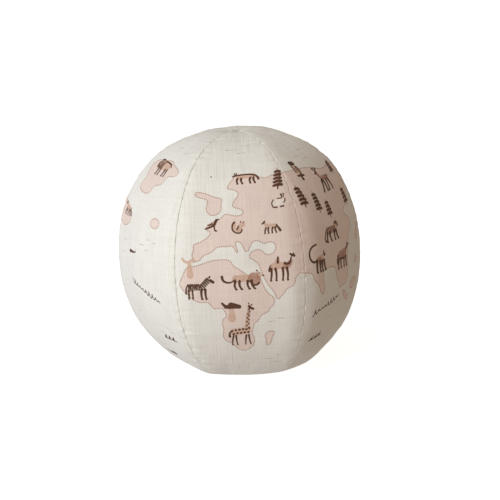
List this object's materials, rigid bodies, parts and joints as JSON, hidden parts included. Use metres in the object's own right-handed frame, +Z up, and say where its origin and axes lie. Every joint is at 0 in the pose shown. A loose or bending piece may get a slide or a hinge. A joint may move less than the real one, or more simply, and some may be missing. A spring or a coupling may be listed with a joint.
{
  "type": "stuffed textile play ball",
  "caption": "Soft stuffed ball sewn from equal printed cotton gores, with a flat settled base, tacked poles and a bending care label, for play, display or squeezing.",
  "frame": {"origin": "centre of the flat base that the ball rests on", "axes": "+Z up through the two poles, -Y out of the middle of gore_panel_1 (the front), +X to the right seen from the front"},
  "size_m": [0.1492, 0.1468, 0.149],
  "materials": {
    "printed_cotton": "unbleached slub cotton, plain weave, with a matt pigment print in pale pink, tan, russet and dark brown",
    "sewing_thread": "matt spun polyester thread in natural",
    "polyester_fibre": "loose white hollow fibre",
    "satin_ribbon": "blank cream satin ribbon, low sheen"
  },
  "bodies": {
    "ball": {"gore_panel_1": "printed_cotton", "gore_panel_2": "printed_cotton", "gore_panel_3": "printed_cotton", "gore_panel_4": "printed_cotton", "gore_panel_5": "printed_cotton", "gore_panel_6": "printed_cotton", "seam_thread_1": "sewing_thread", "seam_thread_2": "sewing_thread", "seam_thread_3": "sewing_thread", "seam_thread_4_lower": "sewing_thread", "seam_thread_4_upper": "sewing_thread", "seam_thread_5": "sewing_thread", "seam_thread_6": "sewing_thread", "closing_thread": "sewing_thread", "base_pole_tack": "sewing_thread", "top_pole_tack": "sewing_thread", "fibre_filling": "polyester_fibre"},
    "label": {"care_label": "satin_ribbon"}
  },
  "joints": [
    {"name": "label_bend", "type": "hinge", "parent": "ball", "child": "label", "pos_m": [0.03034, 0.05255, 0.022], "axis": [0.2886, 0.4998, 0.8167], "range_deg": [-135, 25], "stiffness_Nm_per_rad": 0.0005}
  ]
}
